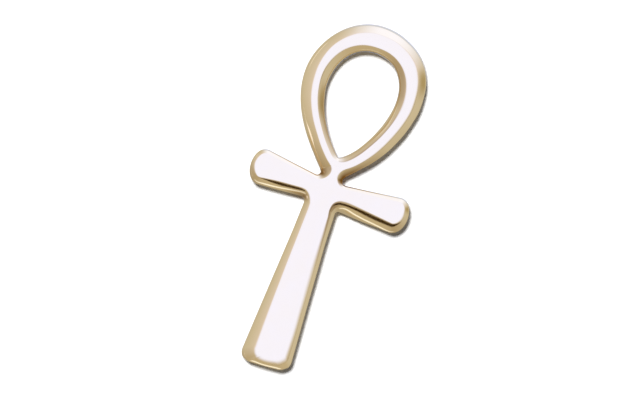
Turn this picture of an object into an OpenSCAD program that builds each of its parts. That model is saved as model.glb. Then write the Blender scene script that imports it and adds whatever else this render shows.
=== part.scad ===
// Ankh pendant: a teardrop loop over two flared arms and a tapered stem, cast in one piece.
// It lies face up on its flat back. +X runs along the right arm, +Y up to the loop, +Z out of the face.

/* [Overall] */
// Length from the foot to the top of the loop
length = 38; // [36:0.5:42]
// Thickness from the flat back to the face
thickness = 2; // [1.6:0.05:3]
// Depth of the rounding around the face, seen from above
edge_round = 1.15; // [0.6:0.05:1.4]
// Height of the same rounding
edge_rise = 1.15; // [0.6:0.05:1.4]
// Rounding of the back edge
back_round = 0.25; // [0.1:0.05:0.4]

/* [Stem] */
// Width of the stem where it crosses the arms' middle lines
stem_top_w = 3.15; // [2.8:0.05:3.8]
// Width of the stem at the foot
stem_foot_w = 5.4; // [4.6:0.05:7]
// Radius of the foot's corners
foot_corner = 1.2; // [1.2:0.05:1.8]
// Slant of the foot's lower edge, rising to the right, in degrees
foot_slant = 4; // [0:0.5:6]
// Radius of the inside corners between stem and arms
stem_fillet = 0.4; // [0.2:0.05:0.8]

/* [Arms] */
// Reach of the left arm from the stem's middle line
left_reach = 8.35; // [7.5:0.05:10]
// Reach of the right arm from the stem's middle line
right_reach = 9.2; // [7.5:0.05:10]
// Width of the arms where they cross the stem's middle line
arm_root_w = 2.4; // [2.4:0.05:3]
// Width of the arms at their ends, before the corners are rounded
arm_end_w = 4.1; // [3.6:0.05:5]
// Length of an arm's rounded end
arm_cap = 1.5; // [1.4:0.05:2]
// Height of the arms' middle lines over the middle of the length
arm_height = 0.42; // [-1:0.02:1]
// How far the arms' middle lines rise on their way out
arm_lift = 0.36; // [0:0.02:0.6]
// How much lower the right arm sits than the left one
arm_drop = 0.15; // [0:0.01:0.3]

/* [Loop] */
// Outside width of the loop
loop_w = 12.85; // [12:0.05:14]
// Width of the band at the loop's sides
band_side = 2.75; // [2.6:0.05:3.2]
// Width of the band at the loop's top
band_top = 2.95; // [2.6:0.05:3.4]
// Distance from the loop's top to its widest place
crown_h = 7.1; // [6.4:0.05:7.6]
// Sideways offset of the loop from the stem
loop_shift = 0.18; // [0:0.02:0.3]
// Width of the neck between loop and arms
neck_w = 2.48; // [2.46:0.02:3]
// Radius of the notches beside the neck
notch_r = 0.45; // [0.35:0.05:0.5]
// Height of the opening's lower point over the arms' middle lines
tip_rise = 3.9; // [3.9:0.05:4.4]
// Radius of the opening's lower point
tip_r = 0.3; // [0.2:0.05:0.5]

/* [Hidden] */
gold = [0.87, 0.74, 0.48];

// How full the loop is on its right (1) and left (-1) side: the handles' shares of the half width and
// height above the widest place, their shares of the height below it, and the angle at the neck.
SIDE = 0;
SHOULDER = 1;
HIP_UP = 2;
HIP_DOWN = 3;
ROOT_PULL = 4;
ROOT_ANGLE = 5;
loop_sides = [
  [1, 0.54, 0.67, 0.29, 0.27, 28],
  [-1, 0.56, 0.48, 0.40, 0.37, 43],
];

// Handle length of a curve that turns a quarter circle, as a share of its radius.
quarter_pull = 0.5523;
// The same for an arm's rounded end, along the arm and across it.
cap_pull = 0.58;
cap_cross = 0.28;
// The most that the rounding may take of the narrowest width, and the least wall left under it.
round_share = 0.48;
least_wall = 0.2;

// Steps along each stretch of the outline, and up the rounded edges.
n_curve = 16;
n_notch = 5;
n_arm = 6;
n_cap = 9;
n_fillet = 5;
n_stem = 8;
n_corner = 8;
n_foot = 3;
n_back = 3;
n_rim = 8;

top_y = length / 2;
stem_x = (left_reach - right_reach) / 2;
loop_x = stem_x + loop_shift;
wide_y = top_y - crown_h;
tip_y = arm_height + tip_rise;
edge_depth = min(edge_round, round_share * min(neck_w, band_side, band_top, arm_root_w, stem_top_w));
rim_h = min(edge_rise, thickness - back_round - least_wall);
corner_r = max(foot_corner, edge_depth);
heel_x = stem_foot_w / 2 - corner_r;
foot = [stem_x, heel_x * sin(foot_slant) + corner_r * (1 - cos(foot_slant)) - top_y];
stem_taper = atan((stem_foot_w - stem_top_w) / 2 / (arm_height + top_y));

// Points of a cubic curve from a to d with handles b and c, without its last point.
function curve(a, b, c, d, n) = [
  for (i = [0 : n - 1]) let (t = i / n, u = 1 - t)
    u*u*u*a + 3*u*u*t*b + 3*u*t*t*c + t*t*t*d
];

// Points of a straight line from a to b, without b.
function line(a, b, n) = [for (i = [0 : n - 1]) a + (b - a) * i / n];

// Points of an arc around c from angle a0 to a1, without its last point, mirrored left-right for s = -1.
function arc(c, r, a0, a1, n, s) = [
  for (i = [0 : n - 1]) let (a = a0 + (a1 - a0) * i / n) c + r * [s * cos(a), sin(a)]
];

// Unit vector at angle a from straight out to side s.
function out(s, a) = [s * cos(a), sin(a)];

function reach(s) = s > 0 ? right_reach : left_reach;

// Height of an arm's middle line on side s, a share f of the way out.
function arm_mid(s, f) = arm_height - s * arm_drop / 2 + arm_lift * f;

// The arm's edge on side s, upper (e = 1) or lower (e = -1), at a distance x from the stem's middle line.
function arm_edge(s, e, x) = let (f = x / reach(s))
  arm_mid(s, f) + e * (arm_root_w + (arm_end_w - arm_root_w) * f) / 2;

// Slope angle of the same edge, going outwards.
function arm_slope(s, e) = atan(arm_edge(s, e, 1) - arm_edge(s, e, 0));

// Half of the stem's width at height y.
function stem_half(y) = stem_top_w / 2 + (arm_height - y) * tan(stem_taper);

// One side of the loop, outer or inner: from its top over its widest place to the point end.
function loop_side(row, half_w, top, end) =
  let (
    s = row[SIDE],
    up = top - wide_y,
    down = wide_y - end[1],
    wide = [loop_x + s * half_w, wide_y]
  )
  concat(
    curve(
      [loop_x, top],
      [loop_x + s * half_w * row[SHOULDER], top],
      wide + [0, up * row[HIP_UP]],
      wide,
      n_curve
    ),
    curve(
      wide,
      wide - [0, down * row[HIP_DOWN]],
      end + down * row[ROOT_PULL] * out(s, row[ROOT_ANGLE]),
      end,
      n_curve
    )
  );

// Centre of the notch between loop and arm, beside the neck.
function notch(s) = let (x = loop_x + s * (neck_w / 2 + notch_r))
  [x, arm_edge(s, 1, s * (x - stem_x)) + notch_r / cos(arm_slope(s, 1))];

// Centre of the fillet between arm and stem.
function armpit(s) =
  let (x = stem_half(arm_edge(s, -1, stem_top_w / 2) - stem_fillet) + stem_fillet)
  [stem_x + s * x, arm_edge(s, -1, x) - stem_fillet / cos(arm_slope(s, -1))];

// The outline on one side, from the loop's top down to the middle of the foot.
function outline_side(row) =
  let (
    s = row[SIDE],
    root = row[ROOT_ANGLE],
    c = notch(s),
    p = armpit(s),
    rise = arm_slope(s, 1),
    sink = arm_slope(s, -1),
    cap_x = reach(s) - arm_cap,
    cross = [0, cap_cross * arm_end_w],
    pull = cap_pull * arm_cap,
    cap_top = [stem_x + s * cap_x, arm_edge(s, 1, cap_x)],
    cap_low = [stem_x + s * cap_x, arm_edge(s, -1, cap_x)],
    tip = [stem_x + s * reach(s), arm_mid(s, 1)],
    along = out(s, s * foot_slant),
    heel = foot + along * heel_x,
    side_y = heel[1] + corner_r,
    ankle = [stem_x + s * stem_half(side_y), side_y]
  )
  concat(
    loop_side(row, loop_w / 2, top_y, c + notch_r * out(s, 90 + root)),
    arc(c, notch_r, 90 + root, 180, n_notch, s),
    arc(c, notch_r, 180, 270 + rise, n_notch, s),
    line(c + notch_r * out(s, 270 + rise), cap_top, n_arm),
    curve(cap_top, cap_top + pull * out(s, rise), tip + cross, tip, n_cap),
    curve(tip, tip - cross, cap_low + pull * out(s, sink), cap_low, n_cap),
    line(cap_low, p + stem_fillet * out(s, 90 + sink), n_arm),
    arc(p, stem_fillet, 90 + sink, 180 - stem_taper, n_fillet, s),
    line(p + stem_fillet * out(s, 180 - stem_taper), ankle, n_stem),
    curve(
      ankle,
      ankle + quarter_pull * corner_r * out(s, -90 + stem_taper),
      heel + quarter_pull * corner_r * along,
      heel,
      n_corner
    ),
    line(heel, foot, n_foot)
  );

// The opening on one side, from its top down to its lower point.
function opening_side(row) =
  let (s = row[SIDE], root = row[ROOT_ANGLE], c = [loop_x, tip_y + tip_r])
  concat(
    loop_side(row, loop_w / 2 - band_side, top_y - band_top, c + tip_r * out(s, root - 90)),
    arc(c, tip_r, root - 90, -90, n_notch, s)
  );

// Joins a right and a left side and the point between them into a closed ring, clockwise from the top.
function ring(right, left, bottom) =
  concat(right, [bottom], [for (i = [len(left) - 1 : -1 : 1]) left[i]]);

outer = ring(outline_side(loop_sides[0]), outline_side(loop_sides[1]), foot);
opening = ring(opening_side(loop_sides[0]), opening_side(loop_sides[1]), [loop_x, tip_y]);
n_outer = len(outer);
n_open = len(opening);

// Unit directions at a clockwise ring's points, to its inside (way = 1) or outside (way = -1).
function into(path, way) = let (n = len(path)) [
  for (i = [0 : n - 1]) let (d = path[(i + 1) % n] - path[(i + n - 1) % n])
    way * [d[1], -d[0]] / norm(d)
];

// A ring moved into the metal by a depth, at a height.
function moved(path, dirs, depth, z) = [
  for (i = [0 : len(path) - 1]) let (p = path[i] + depth * dirs[i]) [p[0], p[1], z]
];

outer_in = into(outer, 1);
open_in = into(opening, -1);

// Section of the edge: depth in from the outline and height, from the back up to the face.
section = concat(
  [for (i = [0 : n_back]) let (a = 90 * i / n_back) back_round * [1 - sin(a), 1 - cos(a)]],
  [
    for (i = [0 : n_rim]) let (a = 90 * i / n_rim)
      [edge_depth * (1 - cos(a)), thickness - rim_h * (1 - sin(a))]
  ]
);
n_level = len(section);
per_level = n_outer + n_open;
face_level = (n_level - 1) * per_level;

points = concat(
  [
    for (q = section)
      each concat(moved(outer, outer_in, q[0], q[1]), moved(opening, open_in, q[0], q[1]))
  ],
  [[stem_x, arm_height, 0], [stem_x, arm_height, thickness]]
);

// Where the stretches start on a side of the outline, counted from the loop's top.
half = n_outer / 2;
neck_i = 2 * n_curve + n_notch;
arm_i = neck_i + n_notch;
end_i = arm_i + n_arm + n_cap;
pit_i = end_i + n_cap + n_arm;
stem_i = pit_i + n_fillet;
MIDDLE = -1;

// Place of the point i of a side in its level, on the outline and on the opening.
function on_outer(s, i) = s > 0 ? i : (n_outer - i) % n_outer;
function on_open(s, i) = n_outer + (s > 0 ? i : (n_open - i) % n_open);

// A triangle, turned over where flip is set.
function facing(f, flip) = flip ? [f[2], f[1], f[0]] : f;

// Two triangles on the corners a, b, c, d.
function quad(a, b, c, d, flip) = [facing([a, b, c], flip), facing([a, c, d], flip)];

// Strip across neck or stem, between the points first and last of both sides.
function cross_strip(first, last) = [
  for (i = [first : last - 1])
    each quad(on_outer(1, i), on_outer(1, i + 1), on_outer(-1, i + 1), on_outer(-1, i), false)
];

// The flat face of one side: strips along the loop and the arm, and the fan around the middle.
function face_side(s) =
  let (left = s < 0)
  concat(
    [
      for (i = [0 : neck_i - 1])
        each quad(on_outer(s, i), on_outer(s, i + 1), on_open(s, i + 1), on_open(s, i), left)
    ],
    [
      for (i = [arm_i : end_i - 2]) let (j = arm_i + pit_i - i)
        each quad(on_outer(s, i), on_outer(s, i + 1), on_outer(s, j - 1), on_outer(s, j), left)
    ],
    [facing([on_outer(s, end_i - 1), on_outer(s, end_i), on_outer(s, end_i + 1)], left)],
    [facing([on_outer(s, arm_i), on_outer(s, pit_i), MIDDLE], left)],
    [for (i = [pit_i : stem_i - 1]) facing([on_outer(s, i), on_outer(s, i + 1), MIDDLE], left)]
  );

face = concat(
  face_side(1),
  face_side(-1),
  [[on_outer(1, neck_i), on_outer(-1, neck_i), on_open(1, neck_i)]],
  cross_strip(neck_i, arm_i),
  [[on_outer(-1, arm_i), on_outer(1, arm_i), MIDDLE]],
  [[on_outer(1, stem_i), on_outer(-1, stem_i), MIDDLE]],
  cross_strip(stem_i, half - 1),
  [[on_outer(1, half - 1), half, on_outer(-1, half - 1)]]
);

// The skin between level k and the next on a ring of n points that starts at first.
function skin(k, first, n, flip) = [
  for (i = [0 : n - 1])
    let (a = k * per_level + first + i, b = k * per_level + first + (i + 1) % n)
      each quad(a, a + per_level, b + per_level, b, flip)
];

faces = concat(
  [for (k = [0 : n_level - 2]) each concat(skin(k, 0, n_outer, true), skin(k, n_outer, n_open, false))],
  [for (f = face) [for (i = f) i == MIDDLE ? len(points) - 1 : i + face_level]],
  [for (f = face) facing([for (i = f) i == MIDDLE ? len(points) - 2 : i], true)]
);

// The whole pendant: loop, neck, arms and stem in one piece.
module ankh() {
  color(gold)
    polyhedron(points, faces);
}

ankh();
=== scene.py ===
import math

import bpy
import numpy as np
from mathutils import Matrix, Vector
from mathutils.geometry import delaunay_2d_cdt


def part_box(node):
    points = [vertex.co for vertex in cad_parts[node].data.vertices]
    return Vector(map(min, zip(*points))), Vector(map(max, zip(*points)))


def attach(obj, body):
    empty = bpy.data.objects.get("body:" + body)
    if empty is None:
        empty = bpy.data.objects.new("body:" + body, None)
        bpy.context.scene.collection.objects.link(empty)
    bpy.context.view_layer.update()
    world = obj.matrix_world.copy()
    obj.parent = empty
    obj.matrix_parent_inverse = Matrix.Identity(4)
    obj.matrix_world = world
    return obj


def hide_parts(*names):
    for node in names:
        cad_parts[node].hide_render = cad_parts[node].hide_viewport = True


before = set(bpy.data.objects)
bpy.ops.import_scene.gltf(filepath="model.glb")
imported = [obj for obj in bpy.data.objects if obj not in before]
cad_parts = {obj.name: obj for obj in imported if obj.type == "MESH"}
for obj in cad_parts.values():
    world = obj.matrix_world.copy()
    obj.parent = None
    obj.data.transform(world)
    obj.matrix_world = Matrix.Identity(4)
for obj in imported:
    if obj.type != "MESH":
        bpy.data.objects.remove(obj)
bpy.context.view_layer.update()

bl_info = {
    "name": "Ankh pendant",
    "version": (1, 0, 0),
    "blender": (4, 5, 0),
    "location": "3D View > Sidebar > Ankh",
    "description": "Finishes the cast ankh pendant in polished gold and lights it on a pale table",
    "category": "Object",
}

ANKH_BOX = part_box("ankh")
ANKH_SIZE = ANKH_BOX[1] - ANKH_BOX[0]
MM = 0.001
RIGHT, LEFT = SIDES = 1, -1

# Shape of the pendant in millimetres, as in the solid: the two sides of the loop differ a little.
# Columns: shoulder, hip_up, hip_down, root_pull, root_angle.
LOOP_SIDES = {
    RIGHT: (0.54, 0.67, 0.29, 0.27, 28.0),
    LEFT: (0.56, 0.48, 0.40, 0.37, 43.0),
}
BACK_ROUND = 0.25  # radius of the back edge
FOOT_CORNER = 1.2
FOOT_SLANT = 4.0  # degrees
STEM_FILLET = 0.4
LEFT_REACH = 8.35  # of the arms, from the stem's middle line
RIGHT_REACH = 9.2
ARM_ROOT_W = 2.4
ARM_CAP = 1.5  # length of an arm's rounded end
ARM_HEIGHT = 0.42  # of the arms' middle line over the pendant's middle
ARM_LIFT = 0.36  # rise of that line out to the ends
ARM_DROP = 0.15  # of the right arm under the left one
CROWN_H = 7.1  # from the loop's widest place to its top
LOOP_SHIFT = 0.18  # of the loop to the right of the stem
NECK_W = 2.48
NOTCH_R = 0.45
TIP_RISE = 3.9  # from the arms' middle line to the opening's lower point
TIP_R = 0.3
QUARTER_PULL = 0.5523  # pull of a cubic curve that follows a quarter of a circle
CAP_PULL = 0.58  # pulls of the arm's end, as shares of its length and width
CAP_CROSS = 0.28

# Tilts in degrees of the rounded front edge, from the face down to the wall, where one stretch of it ends
# and the next begins: the crest next to the face, a bevel, the flank, a narrow gleam and the corner that
# turns into the wall. Then the number of steps in each stretch.
RIM_TILTS = (0, 12, 17.5, 33, 40, 90)
RIM_STEPS = (6, 3, 7, 3, 10)
# Where the bevel is narrower than this, the crest ends at a lower tilt and the flank starts at a higher one,
# with a crease between them.
FULL_BEVEL = 0.1
CREASED_TILT = 7.5
CREASED_FLANK = 21.5
# Tilts that count as the crease, where painted shade darkens it: within this reach of the middle, fading over
# the next few.
CREASE_MIDDLE = 14.5
CREASE_REACH = 7
CREASE_FADE = 5

# Widths of those stretches seen from above, in millimetres, along one side of the outline.
# Columns: place (number of the outline's stretch and share of the way along it), crest, bevel, flank, gleam,
# corner.
OUTLINE_RIM = {
    RIGHT: (
        (0.0, 0.18, 0.10, 0.62, 0.01, 0.28),  # top of the loop
        (0.3, 0.25, 0.08, 0.54, 0.01, 0.28),
        (0.6, 0.38, 0.04, 0.48, 0.01, 0.20),
        (1.0, 0.30, 0.04, 0.55, 0.01, 0.20),  # widest place of the loop
        (1.3, 0.30, 0.04, 0.54, 0.01, 0.19),
        (1.6, 0.28, 0.03, 0.52, 0.01, 0.18),
        (2.0, 0.15, 0.01, 0.68, 0.01, 0.20),
        (2.5, 0.22, 0.01, 0.52, 0.01, 0.25),  # notch at the neck
        (3.0, 0.25, 0.01, 0.44, 0.01, 0.22),
        (3.4, 0.12, 0.01, 0.26, 0.01, 0.15),
        (4.0, 0.08, 0.01, 0.16, 0.01, 0.12),
        (4.5, 0.08, 0.02, 0.22, 0.01, 0.15),  # upper edge of the arm
        (5.6, 0.10, 0.02, 0.27, 0.01, 0.17),
        (6.0, 0.35, 0.01, 0.33, 0.01, 0.16),  # end of the arm
        (6.25, 0.29, 0.06, 0.33, 0.01, 0.17),
        (6.6, 0.13, 0.32, 0.45, 0.01, 0.18),
        (7.0, 0.11, 0.39, 0.42, 0.06, 0.06),
        (7.1, 0.13, 0.41, 0.42, 0.13, 0.03),  # lower edge of the arm
        (7.3, 0.13, 0.45, 0.30, 0.14, 0.15),
        (7.5, 0.14, 0.40, 0.30, 0.14, 0.25),
        (7.7, 0.22, 0.32, 0.30, 0.14, 0.36),
        (7.9, 0.32, 0.25, 0.16, 0.13, 0.56),
        (8.0, 0.30, 0.27, 0.22, 0.06, 0.48),
        (8.3, 0.32, 0.24, 0.46, 0.01, 0.34),  # corner between arm and stem
        (8.6, 0.18, 0.17, 0.46, 0.01, 0.20),
        (9.0, 0.08, 0.06, 0.28, 0.01, 0.15),
        (9.15, 0.35, 0.03, 0.20, 0.01, 0.18),
        (9.4, 0.66, 0.03, 0.22, 0.01, 0.13),  # stem
        (9.85, 0.52, 0.03, 0.23, 0.01, 0.12),
        (10.0, 0.54, 0.02, 0.26, 0.01, 0.12),
        (10.25, 0.66, 0.01, 0.38, 0.01, 0.15),
        (10.5, 0.74, 0.01, 0.46, 0.01, 0.15),
        (10.75, 0.72, 0.01, 0.38, 0.05, 0.10),
        (11.0, 0.60, 0.01, 0.24, 0.07, 0.05),
        (12.0, 0.56, 0.01, 0.20, 0.12, 0.03),  # middle of the foot
    ),
    LEFT: (
        (0.0, 0.18, 0.10, 0.62, 0.01, 0.28),
        (0.3, 0.40, 0.06, 0.55, 0.01, 0.24),
        (0.6, 0.26, 0.01, 0.60, 0.01, 0.25),
        (1.0, 0.34, 0.01, 0.84, 0.01, 0.27),
        (1.3, 0.40, 0.01, 0.80, 0.01, 0.27),
        (1.52, 0.33, 0.01, 0.72, 0.01, 0.32),
        (1.58, 0.31, 0.01, 0.56, 0.17, 0.33),
        (1.62, 0.29, 0.01, 0.51, 0.23, 0.32),
        (1.70, 0.27, 0.01, 0.51, 0.23, 0.31),
        (1.77, 0.25, 0.01, 0.64, 0.02, 0.32),
        (1.80, 0.25, 0.01, 0.66, 0.01, 0.31),
        (1.95, 0.22, 0.01, 0.66, 0.01, 0.30),
        (2.5, 0.24, 0.01, 1.02, 0.01, 0.28),
        (3.0, 0.18, 0.01, 0.62, 0.01, 0.24),
        (3.4, 0.12, 0.01, 0.38, 0.01, 0.18),
        (4.0, 0.08, 0.01, 0.16, 0.01, 0.12),
        (4.5, 0.08, 0.02, 0.22, 0.01, 0.15),
        (5.6, 0.10, 0.02, 0.22, 0.01, 0.15),
        (6.0, 0.30, 0.01, 0.18, 0.01, 0.16),
        (6.6, 0.20, 0.01, 0.47, 0.01, 0.22),
        (7.0, 0.13, 0.05, 0.42, 0.08, 0.20),
        (7.1, 0.13, 0.10, 0.36, 0.15, 0.18),
        (7.3, 0.13, 0.31, 0.23, 0.14, 0.20),
        (7.5, 0.13, 0.38, 0.13, 0.14, 0.26),
        (7.9, 0.15, 0.27, 0.08, 0.12, 0.46),
        (8.0, 0.24, 0.16, 0.09, 0.14, 0.48),
        (8.3, 0.38, 0.01, 0.12, 0.16, 0.42),
        (8.5, 0.44, 0.01, 0.10, 0.24, 0.34),
        (8.8, 0.36, 0.01, 0.15, 0.26, 0.12),
        (9.0, 0.30, 0.01, 0.34, 0.12, 0.14),
        (9.4, 0.28, 0.01, 0.54, 0.01, 0.20),
        (9.85, 0.41, 0.01, 0.72, 0.01, 0.26),
        (10.0, 0.50, 0.01, 0.80, 0.01, 0.26),
        (10.25, 0.60, 0.01, 0.96, 0.01, 0.26),
        (10.5, 0.66, 0.01, 0.92, 0.01, 0.24),
        (10.75, 0.64, 0.01, 0.68, 0.03, 0.20),
        (11.0, 0.58, 0.01, 0.26, 0.06, 0.10),
        (12.0, 0.56, 0.01, 0.20, 0.12, 0.03),
    ),
}
# The same along one side of the opening.
OPENING_RIM = {
    RIGHT: (
        (0.0, 0.20, 0.01, 0.35, 0.01, 0.18),  # top of the opening
        (0.25, 0.22, 0.01, 0.48, 0.01, 0.18),
        (0.6, 0.28, 0.01, 0.54, 0.01, 0.22),
        (1.0, 0.40, 0.01, 0.52, 0.01, 0.23),  # its widest place
        (1.2, 0.20, 0.01, 0.32, 0.06, 0.36),
        (1.3, 0.15, 0.01, 0.21, 0.10, 0.42),
        (1.45, 0.12, 0.01, 0.22, 0.10, 0.34),
        (1.6, 0.10, 0.01, 0.34, 0.02, 0.20),
        (1.9, 0.10, 0.01, 0.34, 0.01, 0.16),
        (3.0, 0.15, 0.01, 0.28, 0.01, 0.16),  # its lower point
    ),
    LEFT: (
        (0.0, 0.20, 0.01, 0.35, 0.01, 0.18),
        (0.5, 0.32, 0.01, 0.60, 0.01, 0.22),
        (1.0, 0.14, 0.07, 0.54, 0.01, 0.26),
        (1.3, 0.20, 0.03, 0.48, 0.01, 0.22),
        (1.6, 0.15, 0.01, 0.29, 0.01, 0.20),
        (1.9, 0.15, 0.01, 0.26, 0.01, 0.18),
        (3.0, 0.15, 0.01, 0.28, 0.01, 0.16),
    ),
}
# How far the crest is shifted along the edge, towards the foot where it is positive: that rounds the face
# more widely at the foot's corners. Columns: place, shift in millimetres.
CREST_SLIDE = {
    RIGHT: (
        (9.75, 0.0), (10.0, -0.95), (10.25, -0.56), (10.5, -0.08), (10.75, 0.41), (11.0, 0.8),
        (12.0, 0.0),
    ),
    LEFT: (
        (9.7, 0.0), (10.0, -1.0), (10.25, -0.37), (10.5, 0.3), (10.75, 0.85), (11.0, 1.2), (12.0, 0.0),
    ),
}
NO_SLIDE = {RIGHT: ((0.0, 0.0),), LEFT: ((0.0, 0.0),)}
# Distance along the edge over which the rounding is evened out, on both sides: wide at the loop, the arm's
# end and the foot, and narrow between them. Columns: place, distance in millimetres.
OUTLINE_EVEN = (
    (1.7, 0.3), (2.1, 0.12), (5.8, 0.12), (6.3, 0.35), (7.15, 0.4), (7.5, 0.12), (10.9, 0.12),
    (11.3, 0.3),
)
OPENING_EVEN = ((0.0, 0.3),)
NARROWEST = 0.01  # least width of a stretch that is divided by
# How far the edge itself is drawn into the metal, or stands out where it is negative: the fine course of the
# cast edge, where the solid has plain arcs and lines. Columns: place, shift in millimetres.
EDGE_TUCK = {
    RIGHT: (
        (0.3, 0.0), (0.5, -0.1), (0.8, -0.12), (1.0, 0.03), (1.15, 0.09), (1.3, 0.06), (1.5, 0.07),
        (1.6, 0.13), (1.7, 0.21), (1.8, 0.3), (1.9, 0.26), (2.0, 0.12), (2.2, 0.03), (2.6, 0.03),
        (3.0, 0.0), (3.7, -0.05), (5.3, -0.05), (5.8, 0.0), (7.2, 0.0), (7.5, -0.1), (8.2, -0.16),
        (8.6, -0.15), (9.0, -0.13), (9.2, -0.03), (9.7, -0.05), (10.0, -0.11), (10.3, -0.09),
        (10.55, 0.0), (11.2, 0.003), (12.0, 0.003),
    ),
    LEFT: (
        (1.8, 0.0), (2.0, -0.08), (2.3, -0.11), (2.7, -0.09), (3.0, -0.06), (3.7, -0.04), (5.3, -0.04),
        (5.8, 0.0), (8.3, 0.0), (8.6, -0.05), (8.9, -0.07), (9.2, 0.0), (9.6, -0.05), (10.0, -0.08),
        (10.45, -0.08), (10.6, -0.03), (10.7, 0.0), (11.2, 0.003), (12.0, 0.003),
    ),
}
# The same for the opening, which is a little narrower at its lower point.
OPENING_TUCK = {
    RIGHT: (
        (0.2, 0.0), (0.45, 0.04), (0.6, 0.02), (0.8, 0.05), (1.2, 0.06), (1.35, 0.06), (1.5, 0.02),
        (1.75, -0.06), (1.9, -0.12), (2.0, -0.13), (3.0, -0.1),
    ),
    LEFT: (
        (0.1, 0.0), (0.3, 0.04), (0.5, 0.05), (0.7, 0.0), (0.9, -0.04), (1.0, 0.01), (1.1, 0.07),
        (1.2, 0.03), (1.3, 0.0), (1.45, -0.04), (1.6, -0.09), (1.75, -0.12), (1.9, -0.13), (2.0, -0.13),
        (3.0, -0.1),
    ),
}
# Share of painted shade at the notches, corners and creases, where shade and the gold's reflection of itself
# darken it.
# Columns: place, share near the edge, all over the rim, and along the crease next to the face.
OUTLINE_RECESS = {
    RIGHT: (
        (1.5, 0.0, 0.0, 0.0),
        (1.75, 0.3, 0.15, 0.0),
        (1.9, 0.6, 0.22, 0.0),
        (2.3, 0.9, 0.16, 0.0),
        (2.8, 0.9, 0.16, 0.0),
        (3.25, 0.9, 0.3, 0.0),
        (3.5, 0.4, 0.1, 0.0),
        (3.75, 0.0, 0.0, 0.0),
        (5.8, 0.0, 0.0, 0.0),
        (6.3, 0.0, 0.2, 0.0),
        (6.8, 0.0, 0.25, 0.0),
        (7.1, 0.0, 0.0, 0.0),
        (7.7, 0.0, 0.0, 0.0),
        (8.2, 0.1, 0.0, 0.3),
        (8.5, 0.2, 0.0, 0.6),
        (8.9, 0.2, 0.0, 0.5),
        (9.15, 0.0, 0.0, 0.3),
        (9.4, 0.0, 0.0, 0.0),
    ),
    LEFT: (
        (1.6, 0.0, 0.0, 0.0),
        (1.85, 0.15, 0.12, 0.0),
        (2.2, 0.5, 0.18, 0.1),
        (2.5, 0.65, 0.15, 0.3),
        (2.8, 0.7, 0.2, 0.1),
        (3.2, 0.8, 0.2, 0.0),
        (3.6, 0.0, 0.0, 0.0),
        (5.7, 0.0, 0.0, 0.0),
        (6.2, 0.0, 0.3, 0.0),
        (6.8, 0.0, 0.2, 0.0),
        (7.1, 0.0, 0.0, 0.0),
        (7.6, 0.0, 0.0, 0.0),
        (7.9, 0.4, 0.1, 0.0),
        (8.1, 0.7, 0.1, 0.0),
        (8.5, 0.65, 0.0, 0.0),
        (8.8, 0.25, 0.0, 0.0),
        (9.2, 0.0, 0.0, 0.0),
        (10.0, 0.0, 0.0, 0.0),
        (10.3, 0.0, 0.12, 0.0),
        (10.8, 0.0, 0.12, 0.0),
        (11.1, 0.0, 0.0, 0.0),
    ),
}
# The same painted shade along the opening.
OPENING_RECESS = {
    RIGHT: (
        (0.0, 0.0, 0.05, 0.0),
        (0.3, 0.0, 0.25, 0.0),
        (0.6, 0.0, 0.42, 0.0),
        (0.9, 0.0, 0.42, 0.0),
        (1.1, 0.0, 0.15, 0.15),
        (1.25, 0.0, 0.1, 0.4),
        (1.7, 0.0, 0.15, 0.4),
        (2.0, 0.0, 0.1, 0.2),
        (2.8, 0.0, 0.0, 0.0),
    ),
    LEFT: (
        (0.0, 0.0, 0.05, 0.0),
        (1.0, 0.0, 0.05, 0.0),
        (1.6, 0.4, 0.0, 0.0),
        (2.0, 0.2, 0.0, 0.0),
        (2.8, 0.0, 0.0, 0.0),
    ),
}

# Cloth of the light tent: linear colours, and the degrees over which one gives way to another.
CLOTH = 0.61
CLOTH_FRONT = (0.54, 0.50, 0.43)
FRONT_FADES = (30, 90)  # azimuths from the front
CLOTH_BRIGHT = (0.80, 0.79, 1.00)  # overhead, on the side of the lamps
BRIGHT_SHARE = 0.9
BRIGHT_FADES = (18, 75)  # tilts
BRIGHT_COMES = (35, 85)  # azimuths from the shadow
# Strip of dark card: linear colour, tilts of its upper and lower edge, and the azimuths of its ends.
DARK_STRIP = (0.04, 0.02, 0.0)
STRIP_COMES = (24, 25.5)
STRIP_GOES = (33, 34.5)
STRIP_LOSS = 0.6  # how much weaker it gets at the sides
STRIP_WEAKENS = (45, 75)  # azimuths from the front
STRIP_ENDS = (100, 120)  # azimuths from the front
STRIP_STARTS = (62, 78)  # azimuths from the left
# Oval lamp overhead: linear colour, half widths in degrees of tilt, and the softness of its rim.
OVAL_LAMP = (0.976, 1.155, 2.05)
OVAL_HALF = 14  # to the sides and to -Y
OVAL_HALF_REAR = 28  # to +Y
OVAL_FADES = 0.8  # share of those widths where the lamp starts to fade
OVAL_GONE = 1.35  # and where it is gone
OVAL_SOFTER = 0.35  # how much earlier it starts to fade on its soft side
SOFT_SIDE = -45  # azimuth
SOFT_ENDS = (50, 80)  # azimuths from there
# Middle azimuths of the tent's sides, in degrees from +X: the front, the wide lamp, the shadow and the left.
FRONT, REAR, SHADE, WEST = -90, 84, -35, 180
# Degrees that no azimuth or tilt reaches: a card that fades there runs all round, or down to the nadir.
NEVER = (181, 182)
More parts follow.
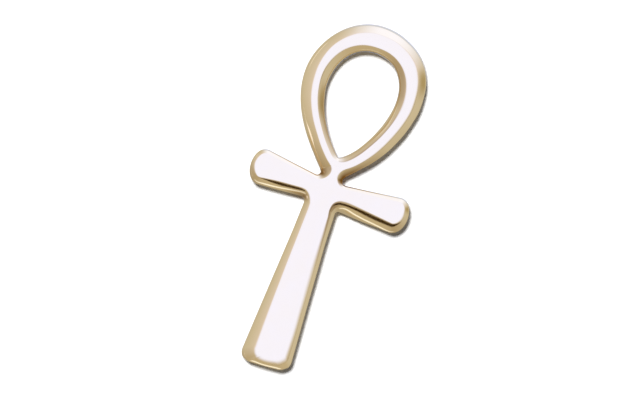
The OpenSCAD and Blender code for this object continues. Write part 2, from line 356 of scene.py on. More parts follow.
# What else glows in the tent, laid over one another in this order.
# Columns: middle azimuth, distances from it where the fading starts and ends, tilts where it comes in and is
# full, tilts where it starts to fade and is gone, share, linear colour.
TENT_CARDS = (
    (SHADE, (30, 80), (19, 21), (26, 34), 1.0, (0.50, 0.46, 0.43)),  # darker band on the shadow's side
    (FRONT, (22, 34), (64, 67), (79, 82), 1.0, (1.06, 1.14, 1.34)),  # bright seam just over the table
    (214, (8, 14), (68.5, 70.5), (79, 82), 1.0, (1.12, 1.14, 1.40)),  # the seam at the left of it
    (163, (9, 16), (65, 67), (72, 76), 0.7, (1.12, 1.14, 1.40)),
    # Below the horizon: a painted reflection of the table, which the gold does not see, and of the pendant's
    # shadow on it.
    (0, NEVER, (86, 100), NEVER, 1.0, (0.58, 0.58, 0.58)),  # what the table throws back
    (FRONT, (30, 90), (86, 100), NEVER, 1.0, (0.48, 0.46, 0.42)),
    (REAR, (20, 60), (86, 100), NEVER, 1.0, (0.66, 0.81, 1.38)),
    (SHADE, (50, 80), (125, 150), NEVER, 1.0, (0.13, 0.12, 0.10)),  # the table in the pendant's shadow
    (21, (2, 17), (30, 58), (90, 120), 1.0, (0.42, 0.37, 0.25)),  # brown card
    (REAR, (4, 58), (26, 33), (86, 94), 1.0, (1.03, 1.21, 2.01)),  # wide lamp on the +Y side
)
TENT_RADIUS = 0.6
TENT_ROWS = TENT_COLUMNS = 360

# Half the side of the table, and its top, which is just under the pendant's back so that they don't touch.
TABLE_HALF = 1.0
TABLE_TOP = -0.02 * MM
# The camera hangs straight over this point, at half the thickness, where the picture is VIEW_WIDTH wide.
AIM = (-0.62 * MM, -0.46 * MM, 1 * MM)
VIEW_WIDTH = 67.37 * MM
LENS = 300.0
SENSOR = 36.0

# sRGB colours of the table top, of the gold, and of the painted shade in its recesses.
TABLE_WHITE = "F3F3F3"
GOLD = ("FCE4B2", "FCE6B9")  # it changes between them with the haze
RECESS_SHADE = "94672C"  # in the recesses
HAZE_RANGE = (0.8, 1.25)  # of the roughness that is set, at the two ends of the haze
# Distances in metres over which the pattern of a surface changes: the waves and patches of haze that buffing
# leaves, the lines of the rouge, which are much longer than wide, and the grain of the table.
WAVE_PITCH = 4 * MM
HAZE_PITCH = 1.5 * MM
LINE_PITCH = 0.12 * MM
LINE_STRETCH = 0.12
GRAIN_PITCH = 0.8 * MM

# A face of the mesh is flat where its normal's height is over this.
FLAT = 0.99999
# Points along each stretch.
N_CURVE = 64
N_NOTCH = 20
N_ARM = 24
N_CAP = 36
N_FILLET = 20
N_STEM = 32
N_CORNER = 32
N_FOOT = 12
# Rings up the rounded back edge.
N_BACK = 4


def linear(code):
    """Linear colour of an sRGB hex code of six digits."""
    part = np.array([int(code[i:i + 2], 16) / 255 for i in (0, 2, 4)])
    return np.where(part <= 0.04045, part / 12.92, ((part + 0.055) / 1.055) ** 2.4)


def out(side, angle):
    """Unit direction at an angle up from straight out to a side, as a complex number x + iy."""
    turn = math.radians(angle)
    return complex(side * math.cos(turn), math.sin(turn))


def curve(a, b, c, d, n):
    """Cubic curve without its last point.

    P(t) = (1-t)^3 a + 3(1-t)^2 t b + 3(1-t) t^2 c + t^3 d, with the direction of dP/dt, for t from 0 to 1.
    """
    t = np.arange(n) / n
    u = 1 - t
    return np.array([
        u**3 * a + 3 * u * u * t * b + 3 * u * t * t * c + t**3 * d,
        u * u * (b - a) + 2 * u * t * (c - b) + t * t * (d - c),
    ])


def line(a, b, n):
    """Straight line without its last point: P(t) = a + t (b - a), direction b - a."""
    return np.array([a + (b - a) * np.arange(n) / n, np.full(n, b - a)])


def arc(centre, radius, a0, a1, n, side):
    """Arc without its last point: P = centre + radius (side cos A, sin A), A from a0 to a1 in degrees."""
    turn = np.radians(a0 + (a1 - a0) * np.arange(n) / n)
    way = math.copysign(1, a1 - a0)
    return np.array([
        centre + radius * (side * np.cos(turn) + 1j * np.sin(turn)),
        way * (-side * np.sin(turn) + 1j * np.cos(turn)),
    ])


def along(places, table):
    """Values of a table at these places of a side: each column between the rows by straight lines."""
    rows = np.array(table).T
    return np.array([np.interp(places, rows[0], row) for row in rows[1:]])


def ease(value, low, high):
    """0 up to low and 1 from high, and t^2 (3 - 2t) between them."""
    t = np.clip((value - low) / (high - low), 0, 1)
    return t * t * (3 - 2 * t)


def around(azimuth, middle):
    """Distance between two azimuths in degrees, from 0 to 180."""
    return np.abs((azimuth - middle + 180) % 360 - 180)


def evened(point, reach, values):
    """Values along a closed ring, each the mean of all with the weight exp(-(distance / reach)^2 / 2)."""
    step = np.abs(np.roll(point, -1) - point)
    far = np.cumsum(step) - step
    gap = np.abs(far[:, None] - far[None, :])
    gap = np.minimum(gap, step.sum() - gap)
    weight = np.exp(-((gap / reach[:, None]) ** 2) / 2) * (step + np.roll(step, 1))
    return values @ (weight / weight.sum(1, keepdims=True)).T


class Shape:
    """Outline and opening of the pendant in millimetres, as stretches that lead down each side."""

    def __init__(self, sizes):
        self.top = sizes.length / MM / 2
        self.thickness = sizes.thickness / MM
        self.loop_w = sizes.loop_width / MM
        self.band_side = sizes.band_side / MM
        self.band_top = sizes.band_top / MM
        self.stem_top_w = sizes.stem_top / MM
        self.stem_foot_w = sizes.stem_foot / MM
        self.arm_end_w = sizes.arm_end / MM
        self.stem_x = (LEFT_REACH - RIGHT_REACH) / 2
        self.loop_x = self.stem_x + LOOP_SHIFT
        self.wide_y = self.top - CROWN_H
        self.tip_y = ARM_HEIGHT + TIP_RISE
        self.heel_x = self.stem_foot_w / 2 - FOOT_CORNER
        slant = math.radians(FOOT_SLANT)
        foot_y = self.heel_x * math.sin(slant) + FOOT_CORNER * (1 - math.cos(slant)) - self.top
        self.foot = complex(self.stem_x, foot_y)
        self.taper = math.degrees(
            math.atan((self.stem_foot_w - self.stem_top_w) / 2 / (ARM_HEIGHT + self.top))
        )

    def reach(self, side):
        """How far an arm reaches from the stem's middle line."""
        return RIGHT_REACH if side == RIGHT else LEFT_REACH

    def arm_mid(self, side, share):
        """Height of an arm's middle line at a share of its reach."""
        return ARM_HEIGHT - side * ARM_DROP / 2 + ARM_LIFT * share

    def arm_edge(self, side, edge, x):
        """Height of an arm's edge, upper (1) or lower (-1), at a distance from the stem's middle line."""
        share = x / self.reach(side)
        width = ARM_ROOT_W + (self.arm_end_w - ARM_ROOT_W) * share
        return self.arm_mid(side, share) + edge * width / 2

    def arm_slope(self, side, edge):
        """Slope of an arm's upper (1) or lower (-1) edge in degrees."""
        return math.degrees(math.atan(self.arm_edge(side, edge, 1) - self.arm_edge(side, edge, 0)))

    def stem_half(self, y):
        """Half the stem's width at a height."""
        return self.stem_top_w / 2 + (ARM_HEIGHT - y) * math.tan(math.radians(self.taper))

    def loop_side(self, side, half_w, top, end):
        """One side of the loop, from its top over its widest place to the point end."""
        shoulder, hip_up, hip_down, root_pull, root_angle = LOOP_SIDES[side]
        up, down = top - self.wide_y, self.wide_y - end.imag
        crown = complex(self.loop_x, top)
        wide = complex(self.loop_x + side * half_w, self.wide_y)
        return [
            curve(crown, crown + side * half_w * shoulder, wide + 1j * up * hip_up, wide, N_CURVE),
            curve(
                wide,
                wide - 1j * down * hip_down,
                end + down * root_pull * out(side, root_angle),
                end,
                N_CURVE,
            ),
        ]

    def notch(self, side):
        """Centre of the notch between loop and arm."""
        x = self.loop_x + side * (NECK_W / 2 + NOTCH_R)
        slope = math.radians(self.arm_slope(side, 1))
        return complex(x, self.arm_edge(side, 1, side * (x - self.stem_x)) + NOTCH_R / math.cos(slope))

    def armpit(self, side):
        """Centre of the fillet between arm and stem."""
        x = self.stem_half(self.arm_edge(side, -1, self.stem_top_w / 2) - STEM_FILLET) + STEM_FILLET
        slope = math.radians(self.arm_slope(side, -1))
        return complex(
            self.stem_x + side * x, self.arm_edge(side, -1, x) - STEM_FILLET / math.cos(slope)
        )

    def outline_side(self, side):
        """Stretches of the outline on one side, from the loop's top down to the middle of the foot."""
        root = LOOP_SIDES[side][-1]
        notch, pit = self.notch(side), self.armpit(side)
        rise, sink = self.arm_slope(side, 1), self.arm_slope(side, -1)
        cap_x = self.reach(side) - ARM_CAP
        cross = 1j * CAP_CROSS * self.arm_end_w
        pull = CAP_PULL * ARM_CAP
        cap_top = complex(self.stem_x + side * cap_x, self.arm_edge(side, 1, cap_x))
        cap_low = complex(self.stem_x + side * cap_x, self.arm_edge(side, -1, cap_x))
        tip = complex(self.stem_x + side * self.reach(side), self.arm_mid(side, 1))
        outward = out(side, side * FOOT_SLANT)
        heel = self.foot + outward * self.heel_x
        side_y = heel.imag + FOOT_CORNER
        ankle = complex(self.stem_x + side * self.stem_half(side_y), side_y)
        loop_end = notch + NOTCH_R * out(side, 90 + root)
        return self.loop_side(side, self.loop_w / 2, self.top, loop_end) + [
            arc(notch, NOTCH_R, 90 + root, 180, N_NOTCH, side),
            arc(notch, NOTCH_R, 180, 270 + rise, N_NOTCH, side),
            line(notch + NOTCH_R * out(side, 270 + rise), cap_top, N_ARM),
            curve(cap_top, cap_top + pull * out(side, rise), tip + cross, tip, N_CAP),
            curve(tip, tip - cross, cap_low + pull * out(side, sink), cap_low, N_CAP),
            line(cap_low, pit + STEM_FILLET * out(side, 90 + sink), N_ARM),
            arc(pit, STEM_FILLET, 90 + sink, 180 - self.taper, N_FILLET, side),
            line(pit + STEM_FILLET * out(side, 180 - self.taper), ankle, N_STEM),
            curve(
                ankle,
                ankle + QUARTER_PULL * FOOT_CORNER * out(side, -90 + self.taper),
                heel + QUARTER_PULL * FOOT_CORNER * outward,
                heel,
                N_CORNER,
            ),
            line(heel, self.foot, N_FOOT),
        ]

    def opening_side(self, side):
        """Stretches of the opening on one side, from its top down to its lower point."""
        root = LOOP_SIDES[side][-1]
        centre = complex(self.loop_x, self.tip_y + TIP_R)
        end = centre + TIP_R * out(side, root - 90)
        half_w = self.loop_w / 2 - self.band_side
        return self.loop_side(side, half_w, self.top - self.band_top, end) + [
            arc(centre, TIP_R, root - 90, -90, N_NOTCH, side),
        ]


def ring(sides, bottom, rims, slides, tucks, evens, recesses, way):
    """Closed clockwise ring: the right side, the bottom point, then the left side backwards.

    Gives its points P, the unit directions N into the metal, the crest C, the widths of the rim's stretches
    and the three rows of recess. C = P + N * (sum of the widths) + T * slide, with T the direction along the
    edge towards the foot. Widths and C are evened along the ring, so that tight corners have no folds. Then P
    moves by N * tuck, and the widths are scaled so that their sum is the distance from P to C. The way is
    RIGHT for the outline and LEFT for the opening: the hand on which the metal is, going round.
    """
    paths, places = [], []
    for side in SIDES:
        paths.append(np.hstack(sides[side]))
        counts = [stretch.shape[1] for stretch in sides[side]]
        places.append(np.concatenate([k + np.arange(n) / n for k, n in enumerate(counts)]))
    back = slice(None, 0, -1)
    to_bottom = np.append(places[0], len(sides[RIGHT]))

    def joined(tables):
        return np.hstack([along(to_bottom, tables[RIGHT]), along(places[1][back], tables[LEFT])])

    point = np.concatenate([paths[0][0], [bottom], paths[1][0][back]])
    level = out(RIGHT, FOOT_SLANT) if way == RIGHT else 1.0
    course = np.concatenate([paths[0][1], [-level], -paths[1][1][back]])
    course = course / np.abs(course)
    inward = -1j * way * course
    to_foot = np.where(np.arange(len(point)) <= len(places[0]), course, -course)
    reach = joined({RIGHT: evens, LEFT: evens})[0]
    rim = evened(point, reach, joined(rims))
    crest = point + inward * rim.sum(0) + to_foot * joined(slides)[0]
    crest = evened(point, reach, crest)
    point = point + inward * joined(tucks)[0]
    return point, inward, crest, rim * np.abs(crest - point) / rim.sum(0), joined(recesses)


def rim_section(rim, thickness):
    """Section of the rounded front edge at every point: rings from the outline's wall up to the crest.

    Within a stretch the tilt A turns evenly along an arc of one radius, so that its run grows as sin A and
    its drop as -cos A, and the radius is the stretch's width over the difference of the sines of its tilts.
    Gives each ring's share of the way from the edge to the crest, its height, and 1 where the crease is.
    """
    bends = np.radians(RIM_TILTS)[:, None] * np.ones(rim.shape[1])
    bevelled = np.clip(rim[1] / FULL_BEVEL, 0, 1)
    bends[1] = np.radians(CREASED_TILT + (RIM_TILTS[1] - CREASED_TILT) * bevelled)
    bends[2] = np.radians(CREASED_FLANK + (RIM_TILTS[2] - CREASED_FLANK) * bevelled)
    low, high = bends[:-1], bends[1:]
    parts = [np.linspace(a, b, n, endpoint=False) for a, b, n in zip(low, high, RIM_STEPS)]
    tilt = np.concatenate(parts + [high[-1:]])[::-1, None]
    span = np.sin(high) - np.sin(low)
    here = np.clip(tilt, low, high)
    run = (np.sin(here) - np.sin(low)) / span
    drop = (np.cos(low) - np.cos(here)) / span
    from_crease = np.abs(np.degrees(tilt[:, 0]) - CREASE_MIDDLE)
    crease = 1 - ease(from_crease, CREASE_REACH, CREASE_REACH + CREASE_FADE)
    return 1 - (run * rim).sum(1) / rim.sum(0), thickness - (drop * rim).sum(1), crease


def back_section(n):
    """Section of the rounded back edge: inset r (1 - sin A), height r (1 - cos A), A from 0 to 90 degrees."""
    turn = np.radians(90 * np.arange(N_BACK + 1) / N_BACK)[:, None] * np.ones(n)
    return BACK_ROUND * (1 - np.sin(turn)), BACK_ROUND * (1 - np.cos(turn))


def skin(levels, first, n, per_level):
    """Triangles between the rings of one closed outline, level by level.

    Each level has per_level points, and the ring is its n points from the number first on.
    """
    level = np.arange(levels - 1)[:, None] * per_level
    here = first + np.arange(n)[None, :]
    after = first + (np.arange(n)[None, :] + 1) % n
    a, b = level + here, level + after
    c, d = b + per_level, a + per_level
    return np.concatenate([np.stack(f, -1).reshape(-1, 3) for f in ((a, c, b), (a, d, c))])


def flat_face(point, n_outer):
    """Triangles that fill a level between its outer ring and the ring of the opening, both clockwise.

    A triangle is in the opening, and left out, where the opening's ring turns once round its middle.
    """
    n = len(point)
    rings = [np.arange(n_outer), np.arange(n_outer, n)]
    edges = np.concatenate([np.stack([one, np.roll(one, -1)], -1) for one in rings])
    coords = [Vector((p.real, p.imag)) for p in point]
    loops = [rings[0][::-1].tolist(), rings[1].tolist()]
    only_inside, epsilon = 1, 1e-9
    made = delaunay_2d_cdt(coords, edges.tolist(), loops, only_inside, epsilon)
    name = np.array([orig[0] for orig in made[3]])
    corners = name[np.array(made[2])]
    middle = point[corners].mean(1)
    hole = point[n_outer:]
    turn = np.angle((np.roll(hole, -1) - middle[:, None]) / (hole - middle[:, None])).sum(1)
    corners = corners[np.abs(turn) < math.pi]
    a, b, c = point[corners].T
    up = ((b - a).conj() * (c - a)).imag > 0
    return np.where(up[:, None], corners, corners[:, ::-1])


def pendant_mesh(sizes):
    """Vertices in metres and triangles of the pendant, and the share of painted shade at each vertex.

    The back's rings are P + inset * N and the front's rings P + share * (C - P): P is the outline or the
    opening, N the unit direction into the metal and C the crest. Inset, share and height follow the sections.
    """
    shape = Shape(sizes)
    outline = {side: shape.outline_side(side) for side in SIDES}
    opening = {side: shape.opening_side(side) for side in SIDES}
    tip = complex(shape.loop_x, shape.tip_y)
    outer = ring(
        outline, shape.foot, OUTLINE_RIM, CREST_SLIDE, EDGE_TUCK, OUTLINE_EVEN, OUTLINE_RECESS, RIGHT
    )
    inner = ring(opening, tip, OPENING_RIM, NO_SLIDE, OPENING_TUCK, OPENING_EVEN, OPENING_RECESS, LEFT)
    point, inward, crest, rim, recess = (np.concatenate(pair, -1) for pair in zip(outer, inner))
    inset, rise = back_section(len(point))
    share, drop, crease = rim_section(rim, shape.thickness)
    place = np.vstack([point + inset * inward, point + share * (crest - point)])
    height = np.vstack([rise, drop])
    verts = np.stack([place.real, place.imag, height], -1).reshape(-1, 3)
    levels, per_level = height.shape
    near_edge, all_over, in_crease = recess
    # Painted shade near the edge is full up to 2/9 of the rim's width, and fades to 7/9 of it. All over the
    # rim it starts at half of the crest's width and is full from one and a half.
    outer_part = np.clip(1.4 - 1.8 * share, 0, 1)
    past_crest = np.clip(rim.sum(0) * (1 - share) / np.maximum(rim[0], NARROWEST) - 0.5, 0, 1)
    front = near_edge * outer_part + all_over * past_crest + in_crease * crease
    painted_shade = np.vstack([(near_edge + all_over) * np.ones_like(inset), front]).ravel()
    n_outer, n_inner = len(outer[0]), len(inner[0])
    top = flat_face(place[-1], n_outer) + (levels - 1) * per_level
    bottom = flat_face(place[0], n_outer)[:, ::-1]
    walls = skin(levels, 0, n_outer, per_level)
    hole = skin(levels, n_outer, n_inner, per_level)[:, ::-1]
    return verts * MM, np.concatenate([walls, hole, top, bottom]), painted_shade


def mesh_object(name, verts, faces):
    """A smoothly shaded mesh object at the origin, from arrays of vertices and faces."""
    mesh = bpy.data.meshes.new(name)
    mesh.from_pydata(verts.tolist(), [], faces.tolist())
    mesh.polygons.foreach_set("use_smooth", np.ones(len(mesh.polygons), dtype=bool))
    mesh.update()
    made = bpy.data.objects.new(name, mesh)
    bpy.context.scene.collection.objects.link(made)
    return made


def node(tree, kind, inputs=None, **settings):
    """Adds a node with its settings; an input is a value, or the output that is linked to it."""
    made = tree.nodes.new(kind)
    for name, value in settings.items():
        setattr(made, name, value)
    for name, value in (inputs or {}).items():
        if isinstance(value, bpy.types.NodeSocket):
            tree.links.new(value, made.inputs[name])
        else:
            made.inputs[name].default_value = value
    return made


def new_material(name):
    """An empty node material and its tree."""
    material = bpy.data.materials.new(name)
    material.use_nodes = True
    material.node_tree.nodes.clear()
    return material, material.node_tree


def polished_gold(finish):
    """Fourteen carat yellow gold, cast, tumbled and buffed with rouge.

    A mirror with a warm tint: it shows the studio sharply, a little uneven where the buff followed the edge,
    with a faint haze of fine polishing lines that softens the edges of the reflections. In the recesses a
    painted shade darkens it.
    """
    material, tree = new_material("gold_14_carat_polished")
    place = node(tree, "ShaderNodeTexCoord").outputs["Object"]
    # Buffing leaves shallow waves and a haze in patches.
    wave = node(
        tree,
        "ShaderNodeTexNoise",
        {"Vector": place, "Scale": 1 / WAVE_PITCH, "Detail": 1.0, "Roughness": 0.4},
    )
    haze = node(tree, "ShaderNodeTexNoise", {"Vector": place, "Scale": 1 / HAZE_PITCH, "Detail": 3.0})
    # The lines of the rouge are microns wide; here they are wide enough to show, and long along Y.
    drawn = node(tree, "ShaderNodeMapping", {"Vector": place, "Scale": (1.0, LINE_STRETCH, 1.0)})
    lines = node(
        tree,
        "ShaderNodeTexNoise",
        {"Vector": drawn.outputs["Vector"], "Scale": 1 / LINE_PITCH, "Detail": 2.0},
    )
    least, most = (finish.roughness * share for share in HAZE_RANGE)
    rough = node(
        tree, "ShaderNodeMapRange", {"Value": haze.outputs["Fac"], "To Min": least, "To Max": most}
    )
    waves = node(
        tree,
        "ShaderNodeBump",
        {"Height": wave.outputs["Fac"], "Strength": 1.0, "Distance": finish.wave},
    )
    bump = node(
        tree,
        "ShaderNodeBump",
        {
            "Height": lines.outputs["Fac"],
            "Normal": waves.outputs["Normal"],
            "Strength": 1.0,
            "Distance": finish.scratch,
        },
    )
    tints = [(*linear(code), 1.0) for code in GOLD]
    tint = node(
        tree,
        "ShaderNodeMix",
        {"Factor": haze.outputs["Fac"], "A": tints[0], "B": tints[1]},
        data_type="RGBA",
    )
    # In the recesses a darker, deeper yellow is painted on as shade.
    recess = node(tree, "ShaderNodeAttribute", attribute_name="recess")
    shaded_tint = node(
        tree,
        "ShaderNodeMix",
        {
            "Factor": recess.outputs["Fac"],
            "A": tint.outputs["Result"],
            "B": (*linear(RECESS_SHADE), 1.0),
        },
        data_type="RGBA",
    )
    shader = node(
        tree,
        "ShaderNodeBsdfPrincipled",
        {
            "Base Color": shaded_tint.outputs["Result"],
            "Metallic": 1.0,
            "Roughness": rough.outputs["Result"],
            "Normal": bump.outputs["Normal"],
        },
    )
    node(tree, "ShaderNodeOutputMaterial", {"Surface": shader.outputs["BSDF"]})
    return material


def white_table(studio):
    """A table top of white matt laminate: flat and even, with a very fine grain that breaks up the light."""
    material, tree = new_material("laminate_white_matt")
    place = node(tree, "ShaderNodeTexCoord").outputs["Object"]
    grain = node(tree, "ShaderNodeTexNoise", {"Vector": place, "Scale": 1 / GRAIN_PITCH, "Detail": 2.0})
    bump = node(
        tree, "ShaderNodeBump", {"Height": grain.outputs["Fac"], "Strength": 0.2, "Distance": 0.01 * MM}
    )
    shader = node(
        tree,
        "ShaderNodeBsdfPrincipled",
        {
            "Base Color": (*studio.table_colour, 1.0),
            "Roughness": 0.9,
            "Specular IOR Level": 0.1,
            "Normal": bump.outputs["Normal"],
        },
    )
    node(tree, "ShaderNodeOutputMaterial", {"Surface": shader.outputs["BSDF"]})
    return material


def tent_material():
    """Cloth of the light tent: it glows in the colour that its points carry."""
    material, tree = new_material("nylon_tent_lit")
    glow = node(tree, "ShaderNodeAttribute", attribute_name="glow")
    shader = node(tree, "ShaderNodeEmission", {"Color": glow.outputs["Color"], "Strength": 1.0})
    node(tree, "ShaderNodeOutputMaterial", {"Surface": shader.outputs["Emission"]})
    material.cycles.emission_sampling = "NONE"
    return material


def tent_glow(tilt, azimuth):
    """Linear colour of the tent in a direction, by its tilt from the zenith and its azimuth, in degrees.

    The cloth is an even pale grey, dimmer and warmer on the -Y side and brighter overhead on the side of the
    lamps. Over it come the cards, seams and lamps of TENT_CARDS, with, below the horizon, a painted
    reflection of the table and a painted shadow of the pendant on it, then a strip of dark card round below
    the oval lamp on the -Y side, which is weaker away from the front, and last the oval lamp overhead, whose
    rim is softer on the side of the shadow. Both lamps are bluish enough to look white in gold.
    """
    glow = np.ones(tilt.shape + (3,)) * CLOTH

    def lay(share, colour):
        nonlocal glow
        glow = glow * (1 - share[..., None]) + share[..., None] * np.array(colour)

    front, shade, west = (around(azimuth, middle) for middle in (FRONT, SHADE, WEST))
    in_front = 1 - ease(front, *FRONT_FADES)
    lay(in_front, CLOTH_FRONT)
    bright = BRIGHT_SHARE * (1 - ease(tilt, *BRIGHT_FADES)) * (1 - in_front) * ease(shade, *BRIGHT_COMES)
    lay(bright, CLOTH_BRIGHT)
    for middle, fade, comes, goes, share, colour in TENT_CARDS:
        wide = 1 - ease(around(azimuth, middle), *fade)
        lay(share * wide * ease(tilt, *comes) * (1 - ease(tilt, *goes)), colour)
    strip = (1 - STRIP_LOSS * ease(front, *STRIP_WEAKENS)) * (1 - ease(front, *STRIP_ENDS))
    strip = strip * ease(west, *STRIP_STARTS)
    lay(strip * ease(tilt, *STRIP_COMES) * (1 - ease(tilt, *STRIP_GOES)), DARK_STRIP)
    turn = np.radians(azimuth)
    half = np.where(np.sin(turn) > 0, OVAL_HALF_REAR, OVAL_HALF)
    oval = np.hypot(tilt * np.cos(turn) / OVAL_HALF, tilt * np.sin(turn) / half)
    soft = 1 - ease(around(azimuth, SOFT_SIDE), *SOFT_ENDS)
    lay(1 - ease(oval, OVAL_FADES - OVAL_SOFTER * soft, OVAL_GONE), OVAL_LAMP)
    return glow


def light_tent():
    """Sphere around the pendant: R (sin T cos A, sin T sin A, cos T) on a grid of tilt T and azimuth A."""
    radius = TENT_RADIUS
    tilt = np.linspace(0, 180, TENT_ROWS + 1)
    azimuth = np.linspace(0, 360, TENT_COLUMNS, endpoint=False)
    tilts, azimuths = (grid.ravel() for grid in np.meshgrid(tilt[1:-1], azimuth, indexing="ij"))
    t, a = np.radians(tilts), np.radians(azimuths)
    verts = radius * np.stack([np.sin(t) * np.cos(a), np.sin(t) * np.sin(a), np.cos(t)], -1)
    verts = np.vstack([verts, [[0, 0, radius], [0, 0, -radius]]])
    poles = tent_glow(np.array([0.0, 180.0]), np.zeros(2))
    glow = np.vstack([tent_glow(tilts, azimuths), poles])
    n, rows = len(azimuth), len(tilt) - 2
    first = np.arange(n)
    after = (first + 1) % n
    zenith = np.stack([first, after, np.full(n, len(verts) - 2)], -1)
    nadir = np.stack([after, first, np.full(n, len(verts) - 1)], -1) + [n * (rows - 1), n * (rows - 1), 0]
    tent = mesh_object("light_tent", verts, np.concatenate([skin(rows, 0, n, n), zenith, nadir]))
    layer = tent.data.color_attributes.new("glow", "FLOAT_COLOR", "POINT")
    layer.data.foreach_set("color", np.hstack([glow, np.ones((len(glow), 1))]).astype(np.float32).ravel())
    tent.data.materials.append(tent_material())
    for ray in ("camera", "diffuse", "transmission", "volume_scatter", "shadow"):
        setattr(tent, "visible_" + ray, False)


def size_property(label, note, default):
    """A length in metres that a user may change."""
    return bpy.props.FloatProperty(
        name=label, description=note, default=default, min=default * 0.5, max=default * 2,
        unit="LENGTH", subtype="DISTANCE", precision=5,
    )


def angle_property(label, note, degrees):
    """An angle that a user may change."""
    return bpy.props.FloatProperty(
        name=label, description=note, default=math.radians(degrees), subtype="ANGLE", unit="ROTATION",
    )


class AnkhSizes(bpy.types.PropertyGroup):
    """Sizes of the pendant."""

    length: size_property("Length", "From the foot to the top of the loop", ANKH_SIZE.y)
    thickness: size_property("Thickness", "From the flat back to the face", ANKH_SIZE.z)
    loop_width: size_property("Loop width", "Outside width of the loop", 12.85 * MM)
    band_side: size_property("Band at the sides", "Width of the loop's band at its sides", 2.75 * MM)
    band_top: size_property("Band at the top", "Width of the loop's band at its top", 2.95 * MM)
    stem_top: size_property("Stem at the arms", "Width of the stem where the arms cross it", 3.15 * MM)
    stem_foot: size_property("Stem at the foot", "Width of the stem at the foot", 5.4 * MM)
    arm_end: size_property("Arm ends", "Width of the arms at their ends", 4.1 * MM)


class AnkhFinish(bpy.types.PropertyGroup):
    """Finish of the gold."""

    roughness: bpy.props.FloatProperty(
        name="Haze", description="Roughness of the polish", default=0.1, min=0.0, max=0.5, subtype="FACTOR",
    )
    wave: size_property("Waves", "Height of the waves that buffing leaves", 0.02 * MM)
    scratch: size_property("Lines", "Depth of the polishing lines", 0.0006 * MM)


class AnkhStudio(bpy.types.PropertyGroup):
    """Table, lights and camera."""

    table_colour: bpy.props.FloatVectorProperty(
        name="Table", description="Colour of the table top", default=linear(TABLE_WHITE), min=0.0, max=1.0,
        subtype="COLOR",
    )
    air: bpy.props.FloatVectorProperty(
        name="Room light", description="Colour of the room's light on the table",
        default=(0.038, 0.052, 0.074), min=0.0, max=1.0, subtype="COLOR",
    )
    sun: bpy.props.FloatProperty(
        name="Lamp", description="Strength of the lamp that casts the shadow", default=4.4, min=0.0, max=20.0,
    )
    sun_tilt: angle_property("Lamp tilt", "Tilt of the lamp from straight above", 19.5)
    sun_azimuth: angle_property("Lamp azimuth", "Side on which the lamp stands, from +X", 135)
    sun_width: angle_property("Lamp width", "How wide the lamp looks, which softens the shadow's edge", 15)
    turn: angle_property("Camera turn", "Turn of the camera over the table", 19.5)


class ANKH_OT_pendant(bpy.types.Operator):
    """Builds the finely rounded pendant in place of the solid and finishes it in gold"""

    bl_idname = "ankh.pendant"
    bl_label = "Ankh"

    def execute(self, context):
        verts, faces, painted_shade = pendant_mesh(context.scene.ankh_sizes)
        piece = mesh_object("ankh_pendant", verts, faces)
        flat = np.abs(np.array([side.normal.z for side in piece.data.polygons])) > FLAT
        piece.data.polygons.foreach_set("use_smooth", ~flat)
        # Painted shade in the recesses, as a share at each vertex.
        recess = piece.data.attributes.new("recess", "FLOAT", "POINT")
        recess.data.foreach_set("value", painted_shade.astype(np.float32))
        piece.data.materials.append(polished_gold(context.scene.ankh_finish))
        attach(piece, "root")
        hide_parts("ankh")
        return {"FINISHED"}


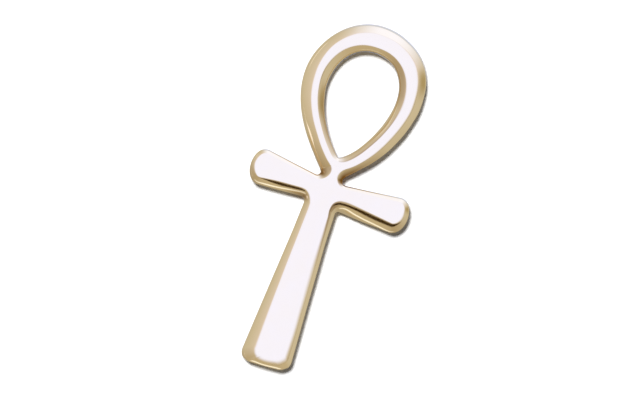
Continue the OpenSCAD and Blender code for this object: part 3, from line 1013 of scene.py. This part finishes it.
class ANKH_OT_stage(bpy.types.Operator):
    """Sets the table, the light tent, the lamp and the camera"""

    bl_idname = "ankh.stage"
    bl_label = "Stage"

    def execute(self, context):
        scene, studio = context.scene, context.scene.ankh_studio
        square = np.array([[-1, -1], [1, -1], [1, 1], [-1, 1]]) * TABLE_HALF
        corners = np.hstack([square, np.full((4, 1), TABLE_TOP)])
        table = mesh_object("table", corners, np.array([[0, 1, 2, 3]]))
        table.data.materials.append(white_table(studio))
        # The gold does not see the table; the tent carries a painted reflection of it.
        table.visible_glossy = False
        light_tent()

        world = bpy.data.worlds.new("room")
        world.use_nodes = True
        world.node_tree.nodes["Background"].inputs["Color"].default_value = (*studio.air, 1.0)
        scene.world = world

        lamp = bpy.data.lights.new("lamp", "SUN")
        lamp.energy = studio.sun
        lamp.angle = studio.sun_width
        holder = bpy.data.objects.new("lamp", lamp)
        scene.collection.objects.link(holder)
        across, side = math.sin(studio.sun_tilt), studio.sun_azimuth
        away = Vector((across * math.cos(side), across * math.sin(side), math.cos(studio.sun_tilt)))
        holder.rotation_euler = away.to_track_quat("Z", "Y").to_euler()
        holder.location = away * 0.5
        holder.visible_glossy = False

        camera = bpy.data.cameras.new("camera")
        camera.lens, camera.sensor_width = LENS, SENSOR
        camera.clip_start, camera.clip_end = 0.01, 5.0
        eye = bpy.data.objects.new("camera", camera)
        scene.collection.objects.link(eye)
        eye.location = Vector(AIM) + Vector((0.0, 0.0, VIEW_WIDTH * LENS / SENSOR))
        eye.rotation_euler = (0.0, 0.0, studio.turn)
        scene.camera = eye
        scene.view_settings.view_transform = "Standard"
        return {"FINISHED"}


class ANKH_PT_panel(bpy.types.Panel):
    """Lists the pendant's operators and settings in the sidebar"""

    bl_idname = "ANKH_PT_panel"
    bl_label = "Ankh pendant"
    bl_space_type = "VIEW_3D"
    bl_region_type = "UI"
    bl_category = "Ankh"

    def draw(self, context):
        for group in (context.scene.ankh_sizes, context.scene.ankh_finish, context.scene.ankh_studio):
            for name in group.__annotations__:
                self.layout.prop(group, name)
        for operator in OPERATORS:
            self.layout.operator(operator.bl_idname)


GROUPS = {"ankh_sizes": AnkhSizes, "ankh_finish": AnkhFinish, "ankh_studio": AnkhStudio}
OPERATORS = (ANKH_OT_pendant, ANKH_OT_stage)


def register():
    for name, group in GROUPS.items():
        bpy.utils.register_class(group)
        setattr(bpy.types.Scene, name, bpy.props.PointerProperty(type=group))
    for kind in OPERATORS + (ANKH_PT_panel,):
        bpy.utils.register_class(kind)


def unregister():
    for kind in (ANKH_PT_panel,) + OPERATORS[::-1]:
        bpy.utils.unregister_class(kind)
    for name, group in GROUPS.items():
        delattr(bpy.types.Scene, name)
        bpy.utils.unregister_class(group)


def main():
    register()
    bpy.ops.ankh.pendant()
    bpy.ops.ankh.stage()


if __name__ == "__main__":
    main()
